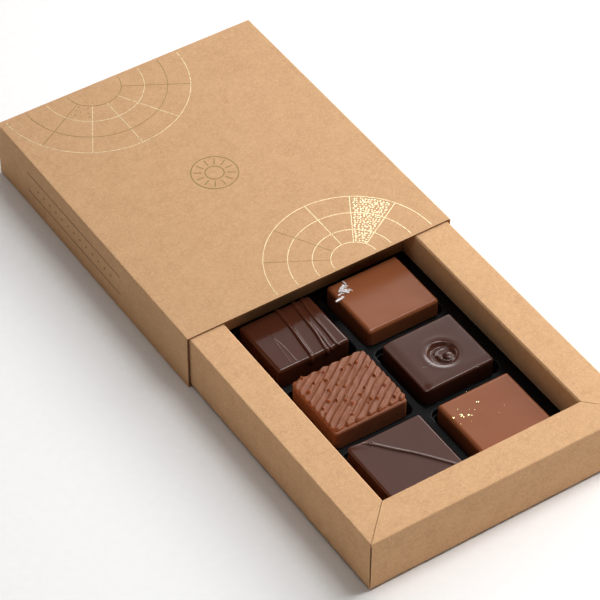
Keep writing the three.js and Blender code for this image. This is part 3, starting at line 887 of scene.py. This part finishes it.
def textured_mesh():
    """The block and its layer, with the nib paint, the painted shade in the pin holes and the painted
    highlight on the rim, at each point.
    """
    block_points, _, _, block_faces = slab(PRALINE_X, PRALINE_Y, side_profile(0.7, top=LAYER_Z), 0.5)
    cell = 0.17
    xs = np.arange(-14.8, 15.3, cell)
    ys = np.arange(-13.6, 15.0, cell)
    x, y = np.meshgrid(xs, ys, indexing="ij")
    inside = layer_inside(x, y)
    used = np.zeros((len(xs) - 1, len(ys) - 1), bool)
    windows = [(slice(i, len(xs) - 1 + i), slice(j, len(ys) - 1 + j)) for i in (0, 1) for j in (0, 1)]
    for window in windows:
        used |= inside[window] > 0
    # Grid points just outside slide onto the outline
    step = 0.02
    for _ in range(4):
        value = layer_inside(x, y)
        slope_x = (layer_inside(x + step, y) - layer_inside(x - step, y)) / (2 * step)
        slope_y = (layer_inside(x, y + step) - layer_inside(x, y - step)) / (2 * step)
        size = np.maximum(slope_x ** 2 + slope_y ** 2, 0.3)
        shift = np.where(inside <= 0, -value / size, 0)
        shift = np.clip(shift, -cell, cell)
        x = x + slope_x * shift
        y = y + slope_y * shift
    inside = np.where(inside <= 0, 0, inside)
    lip = 0.45
    rounding = lip * (1 - np.sqrt(np.clip(1 - (1 - np.clip(inside / lip, 0, 1)) ** 2, 0, 1)))
    rise, paint, pit = nib_relief(x, y)
    inner = smoothstep(inside, 0.0, 0.7)
    z = LAYER_Z + LAYER_THICK - rounding + inner * (textured_relief(x, y) + rise)
    # The rim's paint is a painted highlight along the layer's edge
    rim = 1 - smoothstep(inside, 0.05, 0.4)
    number = np.full(x.shape, -1)
    keep = np.zeros(x.shape, bool)
    for window in windows:
        keep[window] |= used
    number[keep] = np.arange(keep.sum())
    points = np.stack([x[keep], y[keep], z[keep]], 1)
    faces = grid_faces(number)[used].tolist()
    # A skirt down from the open edge, whose lines have a face on one side alone
    lines = {(a, b): True for face in faces for a, b in zip(face, face[1:] + face[:1])}
    open_lines = [(a, b) for a, b in lines if (b, a) not in lines]
    edge_points = sorted({a for line in open_lines for a in line})
    below = {a: len(points) + k for k, a in enumerate(edge_points)}
    skirt = points[edge_points] - np.array([0, 0, 0.75])
    faces += [[b, a, below[a], below[b]] for a, b in open_lines]
    points = np.concatenate([points, skirt])
    paints = []
    for values in (paint[keep], pit[keep], rim[keep]):
        paints.append(np.concatenate([np.zeros(len(block_points)), values, values[edge_points]]))
    return joined([(block_points, block_faces), (points, faces)]), paints


# Toppings

def sliver(start, stop, width, thickness, height, tilt, rng):
    """A flat shaving with ragged ends between two points."""
    start = np.array(start, float)
    stop = np.array(stop, float)
    along = (stop - start) / np.linalg.norm(stop - start)
    side = np.array([-along[1], along[0]])
    steps = 8
    points = []
    for i in range(steps + 1):
        t = i / steps
        middle = start + (stop - start) * t + side * 0.08 * math.sin(3.1 * t + rng.uniform(0, 1))
        half = width / 2 * (0.35 + 0.65 * math.sin(math.pi * min(1, 0.15 + 0.8 * t))) * rng.uniform(0.8, 1.1)
        z = height + tilt * (t - 0.5)
        for s, dz in ((-1, 0), (1, 0), (0.8, thickness), (-0.8, thickness)):
            points.append((*(middle + side * half * s), z + dz))
    return points, bar_faces(steps + 1)


def flakes_mesh():
    """A heap of shavings, each with its ends, width and lift."""
    rng = np.random.default_rng(4)
    flakes = [
        ((-7.9, 11.6), (-7.7, 9.5), 0.55, 0.05), ((-11.7, 7.8), (-8.6, 9.7), 0.9, 0.2),
        ((-11.1, 7.3), (-8.9, 9.0), 0.5, 0.35), ((-10.7, 7.1), (-8.8, 7.6), 0.55, 0.2),
        ((-10.7, 7.5), (-9.3, 5.8), 0.8, 0.3), ((-9.2, 7.9), (-8.9, 5.9), 0.5, 0.1),
        ((-12.8, 6.7), (-11.4, 6.9), 0.5, 0.0), ((-15.0, 4.7), (-11.7, 5.1), 0.75, 0.15),
        ((-12.3, 5.7), (-11.5, 4.9), 0.45, 0.2), ((-9.9, 8.8), (-9.6, 7.0), 0.35, 0.45),
        ((-8.9, 10.2), (-8.3, 8.4), 0.3, 0.1), ((-10.4, 9.1), (-8.6, 8.0), 0.35, 0.55),
        ((-10.9, 8.6), (-9.9, 6.9), 0.3, 0.5), ((-9.6, 6.9), (-8.1, 6.3), 0.35, 0.35),
        ((-8.7, 9.3), (-7.6, 8.5), 0.3, 0.25), ((-11.6, 7.1), (-10.6, 6.3), 0.28, 0.1),
        ((-8.4, 7.4), (-7.7, 6.6), 0.3, 0.05), ((-7.9, 6.5), (-7.5, 6.0), 0.25, 0.02),
        ((-13.2, 5.6), (-12.5, 4.7), 0.3, 0.0),
    ]
    parts = []
    for start, stop, width, lift in flakes:
        tilt = rng.uniform(-0.1, 0.2)
        parts.append(sliver(start, stop, width, 0.28, PRALINE_H + lift - 0.04, tilt, rng))
    return joined(parts)


def leaf(place, size, rng):
    """A crumpled scrap of gold leaf: a small uneven sheet."""
    steps = 5
    turn = rng.uniform(0, math.pi)
    points = []
    for i in range(steps + 1):
        for k in range(steps + 1):
            a = (2 * i / steps - 1) * size * rng.uniform(0.75, 1.1)
            b = (2 * k / steps - 1) * size * 0.7 * rng.uniform(0.75, 1.1)
            x = place[0] + a * math.cos(turn) - b * math.sin(turn)
            y = place[1] + a * math.sin(turn) + b * math.cos(turn)
            points.append((x, y, place[2] + 0.04 + 0.3 * size * rng.uniform(0, 1)))
    cells = grid_faces(np.arange((steps + 1) ** 2).reshape(steps + 1, steps + 1))
    faces = []
    for i in range(steps):
        for k in range(steps):
            if rng.uniform() < 0.9 or 0 < i < steps - 1:
                faces.append(cells[i, k].tolist())
    return points, faces


def leaves_mesh():
    """Scraps of leaf, each with its place and half size."""
    rng = np.random.default_rng(9)
    bits = [
        (-2.2, 6.5, 0.42), (-9.2, 7.3, 0.32), (-9.7, 4.7, 0.55), (-9.5, 3.7, 0.3), (-7.6, 3.5, 0.5),
        (-6.9, 2.9, 0.28), (-4.8, 4.4, 0.16), (0.9, -0.8, 0.13), (4.1, 0.9, 0.12), (-2.6, 12.0, 0.14),
        (-11.9, 1.7, 0.14), (-8.5, 1.0, 0.13), (11.9, 1.7, 0.13), (-6.0, 5.4, 0.15), (-12.3, 5.1, 0.4),
    ]
    return joined([leaf((x, y, PRALINE_H), size, rng) for x, y, size in bits])


# Foil print on the sleeve: plain fans of arcs and rays, a sun, and dots

FAN_X = 14.0
FAN_MARGIN = 1.2
FRONT_RADII = (8, 14, 22, 30)
BACK_RADII = (10, 18, 26, 34)
FAN_LINE = 0.2
SUN_SHIFT = -2
SUN_RADII = (8.0, 3.2)
SUN_RAY = (4.2, 7.0)
SUN_LINE = 0.4
RULE_HEIGHTS = (7.2, 15.2)
RULE_LINE = 0.35
SIDE_DOT_HEIGHT = 11.2
SIDE_DOT_PITCH = 4.0


def ribbon(path, width):
    """A thin flat band along a path in the plane, with a little thickness, as local x, y and lift."""
    path = np.array(path, float)
    tangent = np.gradient(path, axis=0)
    tangent /= np.linalg.norm(tangent, axis=1, keepdims=True)
    side = np.stack([-tangent[:, 1], tangent[:, 0]], 1) * width / 2
    points = []
    for p, s in zip(path, side):
        points += [(*(p - s), -FOIL), (*(p + s), -FOIL), (*(p + s), FOIL), (*(p - s), FOIL)]
    return points, bar_faces(len(path))


def ray(centre, radii, degrees, width):
    """A straight ribbon away from a centre, between two radii."""
    return ribbon([polar(centre, r, math.radians(degrees)) for r in radii], width)


def dot(centre, radius):
    ring = arc(centre, radius, 0, 360, 8)[:-1]
    count = len(ring)
    points = [(x, y, -FOIL) for x, y in ring] + [(x, y, FOIL * 0.6) for x, y in ring] + [(*centre, FOIL)]
    rings = rings_of(count, 2)
    crown = [[a, b, 2 * count] for a, b in zip(rings[1], rings[1][1:] + rings[1][:1])]
    return points, strip(rings) + crown


def fan(centre, radii, start):
    """A half circle's arcs, and its five rays, from a start angle in degrees."""
    arcs = [ribbon(arc(centre, r, start, start + 180, 40), FAN_LINE) for r in radii]
    rays = [ray(centre, (radii[0], radii[-1]), start + turn, FAN_LINE) for turn in range(30, 180, 30)]
    return arcs, rays


def stipple(centre, inner, outer, start, stop, spacing, radius, seed):
    """Raised dots over a sector, in rows of arcs."""
    rng = np.random.default_rng(seed)
    parts = []
    for r in np.arange(inner, outer, spacing):
        count = max(1, int(math.radians(stop - start) * r / spacing))
        for i in range(count):
            a = math.radians(start + (stop - start) * (i + 0.5) / count)
            a += rng.uniform(-0.3, 0.3) * spacing / r
            d = r + rng.uniform(-0.25, 0.25) * spacing
            parts.append(dot(polar(centre, d, a), radius * rng.uniform(0.7, 1.1)))
    return parts


def top_foil(low, high):
    """The sleeve's top print: what shines bright, and what looks olive."""
    front = (FAN_X, low[1] + FAN_MARGIN)
    front_arcs, front_rays = fan(front, FRONT_RADII, 0)
    dots = stipple(front, 8.9, 29.5, 32, 58, 0.95, 0.34, 2)
    back = (-FAN_X, high[1] - FAN_MARGIN)
    back_arcs, back_rays = fan(back, BACK_RADII, 180)
    back_dots = stipple(back, 11.5, 17.5, 211, 239, 2.2, 0.3, 3)
    centre = (low + high)[:2] / 2 + [SUN_SHIFT, 0]
    sun = [ribbon(arc(centre, r, 0, 360, steps), SUN_LINE) for r, steps in zip(SUN_RADII, (64, 40))]
    sun += [ray(centre, SUN_RAY, degrees, SUN_LINE) for degrees in range(0, 360, 30)]
    bright = front_arcs + front_rays[:3] + back_arcs[1::2] + back_rays[1:4] + dots
    olive = front_rays[3:] + back_arcs[::2] + back_rays[:1] + back_rays[4:] + back_dots + sun
    level = high[2] - FOIL
    meshes = []
    for parts in (bright, olive):
        points, faces = joined(parts)
        meshes.append(([(x, y, level + z) for x, y, z in points], faces))
    return meshes


def side_foil(low, high):
    """Two rules and a row of dots on the sleeve's left side."""
    rule_ends = (low[1] + 42, high[1] - 20)
    parts = [ribbon([(y, z) for y in rule_ends], RULE_LINE) for z in RULE_HEIGHTS]
    for y in np.arange(low[1] + 48, high[1] - 26, SIDE_DOT_PITCH):
        parts.append(dot((y, SIDE_DOT_HEIGHT), 0.45))
    points, faces = joined(parts)
    face_x = low[0] + FOIL
    return [(face_x - lift, y, z) for y, z, lift in points], [face[::-1] for face in faces]


# The box

def millimetres(node):
    """A CAD node's lowest and highest corner."""
    low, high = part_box(node)
    return np.array(low) / MM, np.array(high) / MM


def add(name, mesh, material, body, node=None, origin=(0, 0, 0), sharp=30):
    """A piece that rides on a body, in place of a CAD node where one is named."""
    piece = new_object(name, *mesh, material, origin, sharp)
    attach(piece, body)
    if node:
        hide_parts(node)
    return piece


sleeve_box = millimetres("sleeve")
tray_box = millimetres("tray")
insert_box = millimetres("insert")
insert_centre = sum(insert_box) / 2
praline_z = millimetres("praline_lines")[0][2]

*sleeve_board, edge_start = sleeve_mesh(*sleeve_box)
# The sleeve's card is painted a tenth darker than the tray's: painted shade for light that falls off toward
# the back
sleeve = add("sleeve_board", sleeve_board, kraft_card("kraft_card_sleeve_painted_shade", 0.9), "sleeve",
             "sleeve", sharp=35)
# The cut edges at the sleeve's ends take a darker colour, as painted shade for the gap under its mouth
sleeve.data.materials.append(mottled("kraft_cut_edge_painted_shade", CUT_EDGE_SHADE_TONES, 0.4, 0.9, detail=2.0))
for polygon in sleeve.data.polygons[edge_start:]:
    polygon.material_index = 1
add("tray_board", tray_mesh(*tray_box), kraft_card("kraft_card_tray", 1.0), "tray",
    "tray", sharp=35)
add("insert_sheet", insert_mesh(*insert_box), gloss_plastic("black_plastic"), "tray",
    "insert", sharp=40)

foils = [gold("gold_foil", FOIL_GOLD, 0.30, 0.01), gold("gold_foil_olive", FOIL_OLIVE, 0.38, 0.01)]
for number, mesh in enumerate(top_foil(*sleeve_box)):
    add("foil_top_%d" % number, mesh, foils[number], "sleeve")
side_gold = gold("gold_foil_brown", FOIL_BROWN, 0.5, 0.01)
add("foil_side", side_foil(*sleeve_box), side_gold, "sleeve")

dark_gloss = chocolate("dark_chocolate_gloss", GLOSS_DARK_TONES, 0.13)
dark_satin = chocolate("dark_chocolate_satin", DARK_TONES, 0.18, ior=1.44)
milk_satin = chocolate("milk_chocolate_satin", MILK_TONES, 0.25, ior=1.35)
# The layer's rim takes a painted highlight, and the pin holes take painted shade
milk_nibs = painted_chocolate("milk_chocolate_nibs", LAYER_TONES, [
    ("rim", 0.75, LAYER_RIM_HIGHLIGHT), ("nib", 0.85, NIB_BROWN), ("pit", 0.97, PIT_SHADE)])


def stand(name, mesh, material, pocket, offset):
    """Stands a praline's body in its pocket, a little off the pocket's centre."""
    x, y = pocket_centre(*pocket, insert_centre)
    origin = (x + offset[0], y + offset[1], praline_z)
    return add(name + "_body", mesh, material, "tray", name, origin, sharp=70), origin


ridge_body = moulded(slant_relief, 0.75, 1, cell=0.16)
gold_body = moulded(flat_relief, 1.35, 2)
swirl_body = moulded(swirl_relief, 1.0, 4)
lines_body = moulded(lines_relief, 1.1, 5, size_x=26.8, size_y=24.0, cell=0.15)
flakes_body = moulded(flat_relief, 1.3, 6, size_x=27.4)
textured_body, paints = textured_mesh()

stand("praline_ridge", ridge_body, dark_satin, (0, 0), (-0.3, -0.15))
_, gold_origin = stand("praline_gold", gold_body, milk_satin, (1, 0), (-0.25, -0.3))
stand("praline_swirl", swirl_body, dark_satin, (1, 1), (-0.25, -0.35))
stand("praline_lines", lines_body, dark_gloss, (0, 2), (0, 0.25))
_, flakes_origin = stand("praline_flakes", flakes_body, milk_satin, (1, 2), (0.2, -0.25))
textured, _ = stand("praline_textured", textured_body, milk_nibs, (0, 1), (0.2, 0.2))
for paint_name, values in zip(("nib", "pit", "rim"), paints):
    paint_layer = textured.data.attributes.new(paint_name, "FLOAT", "POINT")
    paint_layer.data.foreach_set("value", values.astype(np.float32))

flake_white = mottled("white_flakes", FLAKE_TONES, 0.6, 0.5, bump_mm=0.05)
add("flakes", flakes_mesh(), flake_white, "tray", origin=flakes_origin)
leaf_gold = gold("gold_leaf", LEAF_GOLD, 0.22, 0.1)
add("gold_leaves", leaves_mesh(), leaf_gold, "tray", origin=gold_origin, sharp=20)


# Floor, light and camera

# A light's usual target, in metres
MIDDLE = (0.0, -0.02, 0.01)


def area_light(name, direction, distance, size_x, size_y, radiance, target=MIDDLE, tint=(1, 1, 1)):
    """A soft light at a distance from its target, in metres, with the same radiance at any size."""
    data = bpy.data.lights.new(name, "AREA")
    data.shape = "RECTANGLE"
    data.size = size_x
    data.size_y = size_y
    data.energy = radiance * math.pi * size_x * size_y
    data.color = tint
    light = bpy.data.objects.new(name, data)
    aim = Vector(direction).normalized()
    light.location = Vector(target) + aim * distance
    light.rotation_euler = aim.to_track_quat("Z", "Y").to_euler()
    light.visible_camera = False
    scene.collection.objects.link(light)


def studio_world():
    """Warm light from all round near the horizon, which the recess hardly sees."""
    world = bpy.data.worlds.new("studio")
    world.use_nodes = True
    scene.world = world
    tree = world.node_tree
    background = tree.nodes["Background"]
    direction = tree.nodes.new("ShaderNodeTexCoord").outputs["Generated"]
    height = add_node(tree, "ShaderNodeVectorMath", "Value", {0: direction, 1: (0.0, 0.0, 1.0)},
                      operation="DOT_PRODUCT")
    strength = span(tree, height, 0.05, 0.4, 0.68, 0.0, kind="LINEAR")
    tree.links.new(strength, background.inputs["Strength"])
    background.inputs["Color"].default_value = (*WARM_SKY, 1.0)


floor_half = 6000.0
floor_points = [(x * floor_half, y * floor_half, 0) for x, y in ((-1, -1), (1, -1), (1, 1), (-1, 1))]
floor_paint = mottled("pale_floor", FLOOR_TONES, 3.0, 0.75)
floor = new_object("floor", floor_points, [[0, 1, 2, 3]], floor_paint)

studio_world()
area_light("back_right", (0.51, 0.53, 0.68), 2.0, 1.6, 1.5, 1.0)
area_light("right_mid", (0.75, 0.05, 0.62), 0.9, 0.5, 0.5, 1.3)
area_light("far_right", (0.72, -0.05, 0.69), 2.6, 1.3, 1.3, 2.8, tint=(1.0, 1.02, 1.05))
area_light("low_right", (0.95, -0.05, 0.27), 1.0, 0.6, 0.6, 5.0, tint=(1.0, 0.94, 0.88))
area_light("strip", (0.635, 0.605, 0.48), 1.0, 0.4, 0.34, 5.5)
area_light("overhead", (0.30, -0.06, 0.95), 0.6, 0.22, 0.22, 10.5, target=(0.0, -0.08, 0.0))
area_light("zenith", (-0.08, -0.05, 1.0), 0.7, 0.35, 0.35, 1.9, target=(-0.03, -0.03, 0.0))
area_light("left_low", (-0.70, -0.15, 0.62), 0.9, 0.5, 0.5, 0.3)

camera = bpy.data.objects.new("camera", bpy.data.cameras.new("camera"))
camera.data.lens = CAMERA_LENS
camera.data.sensor_width = CAMERA_SENSOR
camera.data.clip_start = 0.1
camera.data.clip_end = 50.0
yaw = math.radians(CAMERA_YAW)
pitch = math.radians(CAMERA_PITCH)
back = Vector((math.sin(yaw) * math.cos(pitch), -math.cos(yaw) * math.cos(pitch), math.sin(pitch)))
camera.location = CAMERA_PLACE
camera.rotation_euler = (-back).to_track_quat("-Z", "Y").to_euler()
scene.collection.objects.link(camera)
scene.camera = camera
scene.view_settings.view_transform = "Standard"
